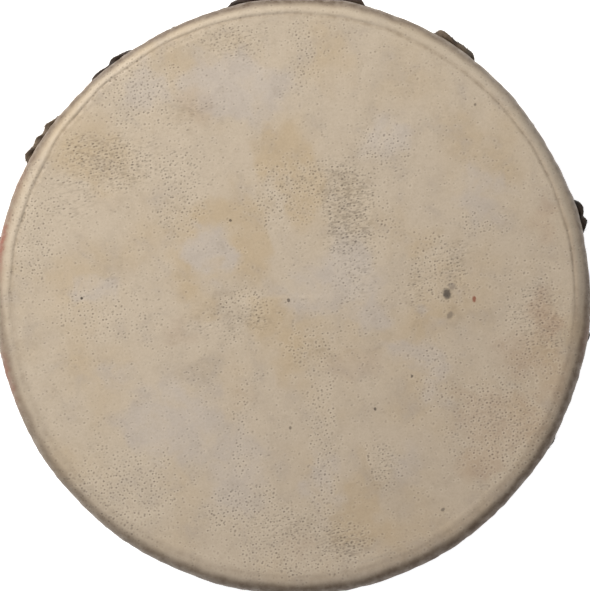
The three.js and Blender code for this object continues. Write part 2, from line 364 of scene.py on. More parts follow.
def headSurface(side, stitches, hide):
    # rows run out over the face, down the skirt, round its cut edge and back up the inside
    columns = hide["columns"]
    angles = np.arange(columns) * 360 / columns
    upper = smoothStep(np.sin(np.radians(angles)), -0.2, 0.2) if side > 0 else np.full(columns, 0.5)
    seed = hide["seed"]
    inner, outer, groove, thick = skin["crownInner"], skin["crownOuter"], skin["groove"], skin["thick"]

    drop = skin["grooveDrop"] * (0.35 + 0.65 * upper)
    wobble = 0.35 * wavyRound(angles, 3, 40, seed)
    crease = (0.08 + 0.34 * upper) * (1 + 0.3 * wavyRound(angles, 5, 70, seed + 1))
    bulge = np.interp(angles, *zip(*skin["bulge"])) if side > 0 else 0.0
    puckers = wavyRound(angles, 40, 95, seed + 2) + 0.8 * wavyRound(angles, 95, 190, seed + 3)
    ripple = skin["ripple"] * puckers
    sway = 0.12 * wavyRound(angles, 4, 30, seed + 7)
    edge = skin["skirt"] + skin["hang"] * pullAt(angles, stitches, lambda stitch: 1) \
        + 0.7 * wavyRound(angles, 9, 60, seed + 4)

    # rows are close where the ring, the crease and the bead need them
    faceRadii = np.concatenate([np.linspace(5, 129, 26), np.linspace(130.5, 136, 6),
                                np.linspace(136.6, outer, 9)])
    rolls = np.radians(np.concatenate([np.linspace(2, 38, 19), np.linspace(43, 90, 10)]))
    falls = np.linspace(0, 1, 22)[1:]
    radii, depths, travel = [], [], []

    def addRow(radius, depth, distance):
        for rows, value in ((radii, radius), (depths, depth), (travel, distance)):
            rows.append(np.broadcast_to(value, (columns,)).astype(float))

    def creaseAt(radius):
        # a line pressed in, and a low bead outside it
        away = radius - wobble - skin["crease"]
        pressed = np.exp(-(away / skin["creaseWide"]) ** 2)
        return crease * (pressed - 0.55 * np.exp(-((away - 2.2) / 1.3) ** 2))

    def faceDepth(radius):
        shifted = radius - wobble
        sink = drop * (1 - smoothStep(shifted, groove - 0.5, inner))
        line = creaseAt(radius)
        x, y = radius * np.cos(np.radians(angles)), radius * np.sin(np.radians(angles))
        calm = smoothStep(radius, 10, 30) * (1 - smoothStep(radius, 137, inner))
        uneven = 0.10 * wavyField(x, y, 30, seed + 5) + 0.04 * wavyField(x, y, 9, seed + 6)
        return sink + line + calm * uneven

    sideRadius = skinRadius(angles, skin["shoulder"], stitches) + bulge + sway
    reach = sideRadius - outer
    for radius in faceRadii:
        addRow(radius, faceDepth(radius), radius)
    for roll in rolls:
        pucker = 0.12 * puckers * math.sin(roll) ** 2
        radius = outer + reach * math.sin(roll) + pucker
        addRow(radius, skin["shoulder"] * (1 - math.cos(roll)) + creaseAt(radius),
               outer + 0.9 * skin["shoulder"] * roll)
    rolled = travel[-1][0]
    firstFall = len(radii)

    def skirtRow(fall, inward):
        depth = skin["shoulder"] + (edge - skin["shoulder"]) * fall
        settle = smoothStep(fall, 0, 0.6)
        flare = skin["curl"] * smoothStep(fall, 0.75, 1) * (1 + wavyRound(angles, 10, 50, seed + 8))
        radius = skinRadius(angles, depth, stitches) + flare
        radius = radius + (0.12 + 0.88 * settle) * ripple * (0.4 + 0.6 * fall)
        radius = radius + sway * (1 - settle) + bulge * (1 - 0.6 * settle)
        addRow(radius - inward, depth, rolled + depth - skin["shoulder"])

    for fall in falls:
        skirtRow(fall, 0)
    for bend in np.radians((45, 90, 135)):       # the cut edge, rounded
        addRow(radii[firstFall + len(falls) - 1] - thick / 2 * (1 - math.cos(bend)),
               edge + thick / 2 * math.sin(bend), rolled + edge - skin["shoulder"])
    firstRise = len(radii)
    for fall in falls[::-1]:
        skirtRow(fall, thick)
    for roll in rolls[::-1][::3]:
        addRow(outer + (reach - thick) * math.sin(roll),
               skin["shoulder"] - (skin["shoulder"] - thick) * math.cos(roll),
               outer + 0.9 * skin["shoulder"] * roll)
    for radius in (outer, inner, 136.0, 128.0, 90.0, 45.0):
        addRow(radius, faceDepth(radius) + thick, radius)
    return angles, np.array(radii), np.array(depths), np.array(travel), firstFall, firstRise, len(falls)


def openSlits(angles, radii, depths, stitches, firstFall, firstRise, fallCount):
    # knife cuts, pulled open: the skin is parted along a column and eased aside round it
    step = 360 / len(angles)
    turns = np.zeros(radii.shape)
    cuts = []
    for stitch in stitches:
        for end in (-1, 1):
            place = stitch[0] + end * (stitch[1] - skin["slitInset"])
            column = int(round(place / step)) % len(angles)
            away = turnBetween(angles[column], angles)
            for rows in (range(firstFall, firstFall + fallCount), range(firstRise, firstRise + fallCount)):
                for row in rows:
                    rise = (depths[row] - stitch[2] - skin["slitDrop"]) / skin["slitHalf"]
                    lens = skin["slitOpen"] * np.sqrt(np.clip(1 - rise ** 2, 0, 1))
                    arc = np.radians(away) * radii[row]
                    aside = np.where(away == 0, 0, np.sign(arc))
                    push = aside * lens * np.exp(-np.abs(arc) / skin["slitEase"])
                    turns[row] += np.degrees(push / radii[row])
            heights = depths[firstFall:firstFall + fallCount, column]
            within = np.abs((heights - stitch[2] - skin["slitDrop"]) / skin["slitHalf"]) < 1
            cuts.append((column, stitch[2] + skin["slitDrop"], np.nonzero(within)[0]))
    return turns, cuts


def makeHead(name, side, stitches, hide, material, node):
    angles, radii, depths, travel, firstFall, firstRise, fallCount = headSurface(side, stitches, hide)
    turns, cuts = openSlits(angles, radii, depths, stitches, firstFall, firstRise, fallCount)
    rows, columns = radii.shape
    theta = np.radians(angles[None, :] + turns)
    level = drumHeight if side > 0 else 0
    points = np.stack([radii * np.cos(theta), radii * np.sin(theta), level - side * depths], -1)
    points = points.reshape(-1, 3)
    # the place on the hide as it lay before it was turned down over the side
    flat = np.radians(angles)[None, :]
    hidePlace = np.stack([travel * np.cos(flat), travel * np.sin(flat), np.zeros_like(travel)], -1)
    hidePlace = hidePlace.reshape(-1, 3)
    leftIds = np.arange(rows * columns).reshape(rows, columns)
    rightIds = leftIds.copy()

    extraPoints, extraPlaces, walls = [], [], []
    for column, centre, within in cuts:
        sides = []
        for first, order in ((firstFall, within), (firstRise, fallCount - 1 - within)):
            ids = []
            for k in order:
                row = first + k
                rise = (depths[row, column] - centre) / skin["slitHalf"]
                halfGap = skin["slitOpen"] * math.sqrt(max(0, 1 - rise * rise)) / radii[row, column]
                here = leftIds[row, column]
                for sign in (-1, 1):
                    turned = theta[row, column] + sign * halfGap
                    x, y = radii[row, column] * math.cos(turned), radii[row, column] * math.sin(turned)
                    if sign < 0:
                        points[here, 0], points[here, 1] = x, y
                    else:
                        rightIds[row, column] = rows * columns + len(extraPoints)
                        extraPoints.append((x, y, points[here, 2]))
                        extraPlaces.append(hidePlace[here])
                ids.append((here, rightIds[row, column]))
            tips = [first + order[0] + (-1 if order[0] < order[-1] else 1),
                    first + order[-1] + (1 if order[0] < order[-1] else -1)]
            ends = [(leftIds[t, column],) * 2 for t in tips]
            sides.append([ends[0]] + ids + [ends[1]])
        outerIds, innerIds = sides
        for k in range(len(outerIds) - 1):
            for lip in (0, 1):
                wall = (outerIds[k][lip], outerIds[k + 1][lip], innerIds[k + 1][lip], innerIds[k][lip])
                walls.append(wall if lip == 0 else wall[::-1])

    after = np.roll(leftIds, -1, axis=1)
    quads = np.stack([rightIds[:-1], rightIds[1:], after[1:], after[:-1]], -1).reshape(-1, 4)
    poles = [(0, 0, level - side * (skin["grooveDrop"] + below)) for below in (0, skin["thick"])]
    allPoints = np.concatenate([points, np.array(extraPoints), poles])
    topPole, underPole = len(allPoints) - 2, len(allPoints) - 1
    faces = quads.tolist() + walls
    faces += [(topPole, leftIds[0, j], after[0, j]) for j in range(columns)]
    faces += [(leftIds[-1, j], underPole, after[-1, j]) for j in range(columns)]
    if side < 0:
        faces = [face[::-1] for face in faces]
    faces = [tuple(int(v) for v in face) for face in faces]
    piece = makePiece(name, allPoints, faces, material, "rawhide", node)

    flatAll = np.concatenate([hidePlace, np.array(extraPlaces), np.zeros((2, 3))])
    for key, values in hideMarks(side, flatAll, hide).items():
        storeOnPoints(piece.data, key, values)
    storeOnPoints(piece.data, "hidePlace", flatAll)
    return piece


def hideMarks(side, place, hide):
    # what the skin carries, and its painted shade and painted highlights, as values on its points
    x, y = place[:, 0], place[:, 1]
    seed = hide["seed"]
    reach = np.hypot(x, y)
    angles = np.degrees(np.arctan2(y, x)) % 360
    low = smoothStep(-np.sin(np.radians(angles)), -0.12, 0.12)       # the side that is down
    wander = 0.8 * wavyRound(angles, 4, 60, seed + 11)
    stops = np.arange(9) * 45
    rimDirtAndShade = np.interp(angles, stops, hide["rimDirtAndShade"] + hide["rimDirtAndShade"][:1])
    ringDirtAndShade = np.interp(angles, stops, hide["ringDirtAndShade"] + hide["ringDirtAndShade"][:1])
    # the grime band is partly painted shade: it is widened on the side that is down, away from the key light
    inward = 2.0 * low                                               # the band is wider there
    wobble = 0.35 * wavyRound(angles, 3, 40, seed)
    grime = ringDirtAndShade * smoothStep(reach + 0.5 * wander + inward, 139.5, 143.5)
    grime = np.maximum(grime, rimDirtAndShade * smoothStep(reach + 0.5 * wander + inward, 143.8, 148.8))
    # painted shade along the crease, strongest on the upper side, where its inner slope faces away from the
    # light
    away = reach - wobble - skin["crease"]
    groove = np.exp(-((away + 0.3) / 1.0) ** 2) * (1 - 0.75 * low)
    # painted highlight on the top of the ring, on the upper side only
    lip = np.exp(-((away - 2.4) / 1.3) ** 2) * (1 - low)
    ochre = np.zeros(x.shape)
    for angle, spread, strength in hide["ochreAt"]:
        ochre = np.maximum(ochre, strength * np.exp(-(turnBetween(angle, angles) / spread) ** 2))
    return {
        "holes": 0.22 + patchField(x, y, hide["holes"], seed + 20),
        "soil": patchField(x, y, hide["soils"], seed + 24),
        "tan": patchField(x, y, hide["tans"], seed + 28),
        "cool": patchField(x, y, hide["cools"], seed + 32),
        "russet": patchField(x, y, hide["russets"], seed + 36),
        "dashes": patchField(x, y, hide["dashes"], seed + 40),
        "grime": np.clip(grime, 0, 1),
        # painted shade: the skin darkens from upper left to lower right, as the key light falls off
        "paintedShadeGradient": smoothStep((x - y) / math.sqrt(2), -60, 150),
        "groove": np.clip(groove, 0, 1),
        "lip": np.clip(lip, 0, 1),
        "ochre": ochre * smoothStep(reach + wander, 144, 149) if side > 0 else 0 * x,
        "skirt": smoothStep(reach, 150, 158),
    }


# Noises over the skin: size of a feature in millimetres, detail, roughness, distortion
skinNoises = {
    "broad": (46, 3, 0.55, 0.0), "middle": (15, 4, 0.6, 0.4),
    "small": (4.2, 4, 0.6, 0.0), "grain": (1.2, 3, 0.7, 0.0),
}

# Layers on the skin, below and above its hair holes: shade, the mark that it follows, strength, the
# noise that breaks it up, and two values of the noise with what each of them gives
skinLayers = {
    "below": (
        # painted shade, darker towards the lower right
        ("paintedShadeGradient", "paintedShadeGradient", 0.28, None, None),
        ("russet", "russet", 0.6, "middle", (0.3, 0.65, 0.45, 1.0)),
        ("soil", "soil", 0.42, "small", (0.3, 0.7, 0.3, 1.0)),
        ("soil", None, 0.16, "middle", (0.4, 0.75, 0.0, 1.0)),
        ("soil", None, 0.12, "small", (0.45, 0.8, 0.0, 1.0)),
        ("soil", None, 0.14, "grain", (0.35, 0.75, 0.0, 1.0)),
    ),
    "above": (
        # rim grime, partly painted shade on the rolled edge
        ("grime", "grime", 1.0, "small", (0.25, 0.7, 0.75, 1.0)),
        # painted shade along the crease
        ("soil", "groove", 0.34, "small", (0.3, 0.7, 0.2, 1.0)),
        # painted highlight on the ring
        ("paintedHighlight", "lip", 0.22, None, None),
        ("ochre", "ochre", 0.8, "small", (0.3, 0.65, 0.3, 1.0)),
        ("skirt", "skirt", 0.35, None, None),
    ),
}


def stainSkin(tree, colour, layers, hide, mark, noise):
    for shade, follows, strength, cloud, ends in layers:
        amount = strength
        if follows:
            amount = addNode(tree, "ShaderNodeMath", {0: mark[follows], 1: strength}, operation="MULTIPLY")
        colour = stain(tree, colour, linear(hide[shade]), amount, noise.get(cloud), ends, "SMOOTHSTEP")
    return colour


def hairHoles(tree, hide, place, mark, noise):
    # how deep a hair hole is at each place, and how strong the painted highlight on the lip round it
    pits, paintedLipHighlights = 0.0, 0.0
    for field, pitch, stretch, turn, wide, dark in hide["holeKinds"]:
        aligned = addNode(tree, "ShaderNodeMapping",
                          {"Vector": place, "Rotation": (0, 0, math.radians(turn)),
                           "Scale": (pitch * stretch, pitch, 1)}, vector_type="TEXTURE")
        cell = addNode(tree, "ShaderNodeTexVoronoi", {"Vector": aligned, "Scale": 1.0, "Randomness": 0.8},
                       voronoi_dimensions="2D", feature="F1").node.outputs
        lot = addNode(tree, "ShaderNodeSeparateColor", {0: cell["Color"]}).node.outputs
        reach = addNode(tree, "ShaderNodeMath", {0: lot[2], 1: 0.10, 2: cell["Distance"]},
                        operation="MULTIPLY_ADD")
        crowd = addNode(tree, "ShaderNodeMath", {0: noise["middle"], 1: 0.8, 2: mark[field]},
                        operation="MULTIPLY_ADD")
        crowd = addNode(tree, "ShaderNodeMath", {0: crowd, 1: lot[0]}, operation="SUBTRACT")
        edge = wide / pitch
        eased = {}
        for key, value, low, high, toLow, toHigh in (
                ("dot", reach, 0.25 * edge, 1.15 * edge, 1, 0),
                ("lipInside", reach, 0.7 * edge, 1.5 * edge, 0, 1),
                ("lipOutside", reach, 1.5 * edge, 2.3 * edge, 1, 0), ("shown", crowd, 0.24, 0.48, 0, 1),
                ("darkness", lot[1], 0, 1, 0.3 * dark, dark), ("share", mark[field], 0.2, 0.9, 0.6, 1)):
            eased[key] = addNode(tree, "ShaderNodeMapRange", {0: value, 1: low, 2: high, 3: toLow, 4: toHigh},
                                 interpolation_type="SMOOTHSTEP")
        layers = []
        for factors in (("dot",), ("lipInside", "lipOutside")):
            layer = eased["shown"]
            for key in ("darkness", "share", *factors):
                layer = addNode(tree, "ShaderNodeMath", {0: layer, 1: eased[key]}, operation="MULTIPLY")
            layers.append(layer)
        pits, paintedLipHighlights = [addNode(tree, "ShaderNodeMath", {0: before, 1: layer}, operation="MAXIMUM")
                      for before, layer in zip((pits, paintedLipHighlights), layers)]
    return pits, paintedLipHighlights


def skinFolds(tree, place, mark, pits, paintedLipHighlights):
    # between the dashes the skin is drawn into fine folds, with painted shade in the hollow and a painted
    # highlight on the ridge
    lie = addNode(tree, "ShaderNodeMapping",
                  {"Vector": place, "Rotation": (0, 0, math.radians(12)), "Scale": (4.0, 1.25, 1)},
                  vector_type="TEXTURE")
    folds = addNode(tree, "ShaderNodeTexNoise", {"Vector": lie, "Scale": 1.0, "Detail": 1.0},
                    noise_dimensions="2D")
    marks = []
    for before, low, high, strength in ((pits, 0.50, 0.70, 0.42), (paintedLipHighlights, 0.48, 0.34, 0.6)):
        shown = addNode(tree, "ShaderNodeMapRange", {0: folds, 1: low, 2: high, 3: 0, 4: 1},
                        interpolation_type="SMOOTHSTEP")
        share = addNode(tree, "ShaderNodeMath", {0: mark["dashes"], 1: strength}, operation="MULTIPLY")
        layer = addNode(tree, "ShaderNodeMath", {0: shown, 1: share}, operation="MULTIPLY")
        marks.append(addNode(tree, "ShaderNodeMath", {0: before, 1: layer}, operation="MAXIMUM"))
    return marks


def rawhide(name, hide, spots):
    # Scraped, sun-dried goat skin: matt to satin, mottled grey-cream and tan, pricked with hair holes
    material, tree = newMaterial(name)
    place = addNode(tree, "ShaderNodeAttribute", out="Vector", attribute_name="hidePlace")
    mark = {key: addNode(tree, "ShaderNodeAttribute", out="Fac", attribute_name=key)
            for key in ("holes", "dashes", "soil", "tan", "cool", "russet", "grime", "groove", "ochre",
                        "skirt", "paintedShadeGradient", "lip")}
    noise = {key: addNode(tree, "ShaderNodeTexNoise",
                          {"Vector": place, "Scale": 1 / size, "Detail": detail, "Roughness": roughness,
                           "Distortion": distortion}, noise_dimensions="3D")
             for key, (size, detail, roughness, distortion) in skinNoises.items()}

    colour = linear(hide["face"])
    for shade, cloud, share, markShare, low in (("tan", "broad", 0.9, 0.30, 0.38),
                                                ("cool", "middle", 0.75, 0.34, 0.36)):
        marked = addNode(tree, "ShaderNodeMath", {0: mark[shade], 1: markShare}, operation="MULTIPLY")
        whole = addNode(tree, "ShaderNodeMath", {0: noise[cloud], 1: share, 2: marked},
                        operation="MULTIPLY_ADD")
        colour = stain(tree, colour, linear(hide[shade]), 1.0, whole, (low, 0.72, 0, 1), "SMOOTHSTEP")
    colour = stainSkin(tree, colour, skinLayers["below"], hide, mark, noise)
    pits, paintedLipHighlights = hairHoles(tree, hide, place, mark, noise)
    pits, paintedLipHighlights = skinFolds(tree, place, mark, pits, paintedLipHighlights)
    # painted highlight on the lips round the hair holes and on the fold ridges; then the dark hair holes,
    # with painted shade in the fold hollows
    colour = stain(tree, colour, linear(hide["paintedHighlight"]), 0.34, paintedLipHighlights)
    colour = stain(tree, colour, linear(hide["hole"]), 0.68, pits)
    for x, y, wide, high, lean, shade, strength in spots:
        local = addNode(tree, "ShaderNodeMapping",
                        {"Vector": place, "Location": (x, y, 0), "Rotation": (0, 0, math.radians(lean)),
                         "Scale": (wide, high, 1)}, vector_type="TEXTURE")
        distance = addNode(tree, "ShaderNodeVectorMath", {0: local}, out="Value", operation="LENGTH")
        ragged = addNode(tree, "ShaderNodeMath", {0: noise["grain"], 1: 0.9, 2: distance},
                         operation="MULTIPLY_ADD")
        colour = stain(tree, colour, linear(shade), 1.0, ragged, (1.0, 1.6, strength, 0), "SMOOTHSTEP")
    colour = stainSkin(tree, colour, skinLayers["above"], hide, mark, noise)

    # strength, height in metres, what stands up, and whether it goes in instead
    relief = {}
    for strength, height, pattern, isPit in ((0.35, 0.00012, noise["grain"], False),
                                             (0.4, 0.0004, noise["small"], False), (0.7, 0.0003, pits, True)):
        relief["Normal"] = addNode(tree, "ShaderNodeBump",
                                   {"Strength": strength, "Distance": height, "Height": pattern, **relief},
                                   invert=isPit)
    gloss = addNode(tree, "ShaderNodeMapRange",
                    {0: noise["small"], 1: 0.3, 2: 0.7, 3: hide["gloss"] - 0.06, 4: hide["gloss"] + 0.12},
                    interpolation_type="SMOOTHSTEP")
    surface = addNode(tree, "ShaderNodeBsdfPrincipled",
                      {"Base Color": colour, "Roughness": gloss, "IOR": 1.46, "Specular IOR Level": 0.35,
                       **relief})
    addNode(tree, "ShaderNodeOutputMaterial", {"Surface": surface})
    return material


# x, y, half width, half height, lean, colour, strength
topSpots = [
    (77.0, 1.2, 2.3, 3.1, 10, "#3e3730", 0.85),      # a scar where the skin was thin
    (79.5, 5.0, 2.2, 2.0, 0, "#6a6158", 0.5),
    (78.5, -9.5, 1.6, 2.4, -30, "#5a5046", 0.55),
    (90.6, -1.4, 1.1, 1.8, 0, "#7c4a36", 0.9),       # a spot of dried blood
    (-2.4, -2.0, 0.9, 1.1, 0, "#4a4036", 0.8), (-106.0, -1.0, 0.8, 0.8, 0, "#3c332a", 0.9),
    (91.0, 96.0, 0.8, 0.8, 0, "#5b5143", 0.7), (-31.5, 38.0, 0.9, 0.8, 0, "#4e4436", 0.8),
    (41.0, -56.5, 0.8, 0.9, 0, "#4c4338", 0.85), (75.0, -107.0, 1.3, 0.9, 40, "#5a5044", 0.7),
    (59.5, -40.0, 0.8, 0.8, 0, "#4e453a", 0.8), (-1.5, -66.0, 0.8, 1.0, 0, "#5a4f42", 0.7),
]

upperSkin = rawhide("scrapedGoatRawhide", topHide, topSpots)
lowerSkin = rawhide("scrapedGoatRawhideUnder", lowerHide, [])
makeHead("playingHead", 1, upperStitches, topHide, upperSkin, "top_head")
print("playing head is made")
makeHead("restingHead", -1, lowerStitches, lowerHide, lowerSkin, "bottom_head")
print("resting head is made")


# one long thong of goat hide, cut with its hair on and twisted as it was pulled
thong = {
    "width": 4.7, "thick": 2.5,
    "outward": 1.15, "inward": -3.7,       # its middle, from the skin's outer face
    "bow": 0.3, "legDrop": 5.0,
    "slitOuter": 1.2, "slitInner": 0.9,   # degrees from a stitch's end
    "step": 1.1, "turn": 19.0,            # length of one full twist
    "rough": 0.42,
    "hairs": 260000.0, "hairLength": 4.2,  # hairs to the square metre where it is hairiest
    "dark": "#1b130e", "brown": "#3a2c22", "bleached": "#7b6a55",
    "hair": "#4a3c2f", "bleachedHair": "#a3937b",
    "knot": dict(turn=5.9, radius=145.6, height=54, size=1.75, tail=19, tails=(1.6, 4.4)),
    # how hairy, how thick and how bleached each stitch of the playing head is, by its angle
    "hairy": {148.0: 1.0, 57.3: 0.75, 128.8: 0.35, 98.5: 0.3, 15.5: 0.3},
    "girth": {148.0: 1.12, 57.3: 1.25, 128.8: 0.95, 98.5: 1.0, 79.0: 0.9, 15.5: 1.0},
    "bleach": {148.0: 0.5, 57.3: 0.45, 98.5: 0.05, 128.8: 0.0, 15.5: 0.05, 79.0: 0.1},
}


def stitchRoute(stitch, stitches, heightAt):
    middle, half, depth, tip = stitch[0], stitch[1], stitch[2], stitch[4]
    plan = [
        (-half - thong["slitInner"], thong["legDrop"], thong["inward"]),
        (-half + thong["slitOuter"], 0, thong["outward"] - tip),
        (0, -thong["bow"], thong["outward"] + thong["bow"]),
        (half - thong["slitOuter"], 0, thong["outward"] + tip),
        (half + thong["slitInner"], thong["legDrop"], thong["inward"]),
    ]
    points = []
    for offset, down, shift in plan:
        radius = float(skinRadius(middle + offset, depth + down, stitches)) + shift
        if stitches is upperStitches:
            radius += float(np.interp(middle, *zip(*skin["bulge"])))
        turn = math.radians(middle + offset)
        points.append((radius * math.cos(turn), radius * math.sin(turn), heightAt(depth + down)))
    return points


def smoothPath(points, step):
    # centripetal Catmull-Rom through the points, then even steps along it
    points = [2 * points[0] - points[1], *points, 2 * points[-1] - points[-2]]
    line = []
    for a, b, c, d in zip(points, points[1:], points[2:], points[3:]):
        knots = np.cumsum([0] + [math.sqrt(np.linalg.norm(q - p)) for p, q in ((a, b), (b, c), (c, d))])
        for t in np.linspace(knots[1], knots[2], 24, endpoint=False):
            def mix(p, q, i, j):
                return p * (knots[j] - t) / (knots[j] - knots[i]) + q * (t - knots[i]) / (knots[j] - knots[i])
            ab, bc, cd = mix(a, b, 0, 1), mix(b, c, 1, 2), mix(c, d, 2, 3)
            line.append(mix(mix(ab, bc, 0, 2), mix(bc, cd, 1, 3), 1, 2))
    line = np.array(line + [points[-2]])
    travel = np.concatenate([[0], np.cumsum(np.linalg.norm(np.diff(line, axis=0), axis=1))])
    even = np.linspace(0, travel[-1], max(3, int(travel[-1] / step)))
    return np.stack([np.interp(even, travel, line[:, k]) for k in range(3)], -1)


def thongStrands():
    knot = thong["knot"]
    turn = math.radians(upperStitches[0][0] - knot["turn"])
    outward = np.array([math.cos(turn), math.sin(turn), 0])
    along = np.array([-math.sin(turn), math.cos(turn), 0])
    middle = outward * knot["radius"] + np.array([0, 0, knot["height"]])
    route = []
    for upper, lower in zip(upperStitches, lowerStitches):
        route += stitchRoute(upper, upperStitches, lambda depth: drumHeight - depth)
        route += stitchRoute(lower, lowerStitches, lambda depth: depth)
    run = [middle + along * 1.5, *[np.array(p) for p in route], middle - along * 1.5]
    strands = [smoothPath(run, thong["step"])]
    loops = np.linspace(0, 2 * math.pi, 46)
    knotted = [middle + knot["size"] * (along * (math.sin(t) + 2 * math.sin(2 * t)) * 0.62
                                        + np.array([0, 0, 1]) * (math.cos(t) - 2 * math.cos(2 * t)) * 0.75
                                        - outward * 1.1 * math.sin(3 * t)) for t in loops]
    strands.append(np.array(knotted))
    for swing in knot["tails"]:
        end = turn + math.radians(swing)
        foot = np.array([math.cos(end), math.sin(end), 0]) * (knot["radius"] - 1.5)
        foot = foot + np.array([0, 0, knot["height"] - knot["tail"]])
        halfway = (middle + foot) / 2 + outward * 1.6 + along * 0.8
        strands.append(smoothPath([middle, halfway, foot], thong["step"]))
    return strands


def thongValue(points, table, usual):
    # a value for each point: the stitch's own where the thong lies on the playing head's side
    angles = np.degrees(np.arctan2(points[:, 1], points[:, 0]))
    high = smoothStep(points[:, 2], drumHeight - 26, drumHeight - 17)
    value = np.full(len(points), float(usual))
    for angle, own in table.items():
        near = np.exp(-(turnBetween(angle, angles) / 6.5) ** 4) * high
        value = value + near * (own - usual)
    return value


